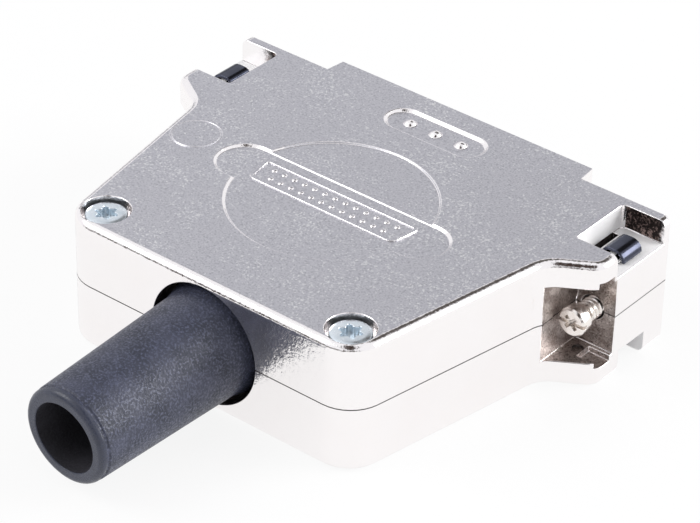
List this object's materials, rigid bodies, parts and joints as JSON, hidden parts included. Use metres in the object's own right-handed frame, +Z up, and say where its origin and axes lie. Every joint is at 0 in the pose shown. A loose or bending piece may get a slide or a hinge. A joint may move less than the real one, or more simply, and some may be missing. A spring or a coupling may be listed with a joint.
{
  "type": "d-sub hood",
  "caption": "Die-cast metal hood for a wide d-sub connector, in halves closed by screws and spring clips, with jackscrews, cable clamp and straight rubber boot.",
  "frame": {"origin": "under the middle of the whole hood's box, on the surface that the lower shell rests on", "axes": "+X across the width towards the right ear, +Y along the hood towards the mating face, +Z up from the lower shell to the upper shell"},
  "size_m": [0.0678, 0.0738, 0.0181],
  "materials": {
    "nickel_casting": "satin broad faces, bright edges and sides",
    "clamp_casting": "bright",
    "black_rubber": "matte, fine texture",
    "zinc_screw": "bluish zinc plate",
    "nickel_jackscrew": "bright turned",
    "blued_spring": "blued spring steel"
  },
  "bodies": {
    "hood": {"upper_shell": "nickel_casting", "lower_shell": "nickel_casting", "cable_boot": "black_rubber", "cable_clamp": "clamp_casting", "clamp_screw_left": "zinc_screw", "clamp_screw_right": "zinc_screw", "assembly_screw_left": "zinc_screw", "assembly_screw_right": "zinc_screw", "spring_clip_left": "blued_spring", "spring_clip_right": "blued_spring"},
    "left_jackscrew": {"jackscrew_left": "nickel_jackscrew"},
    "right_jackscrew": {"jackscrew_right": "nickel_jackscrew"}
  },
  "joints": [
    {"name": "left_jackscrew_turn", "type": "hinge", "parent": "hood", "child": "left_jackscrew", "pos_m": [-0.03055, 0.02875, 0.00895], "axis": [0, 1, 0], "continuous": true},
    {"name": "right_jackscrew_turn", "type": "hinge", "parent": "hood", "child": "right_jackscrew", "pos_m": [0.03055, 0.02875, 0.00895], "axis": [0, 1, 0], "continuous": true}
  ]
}
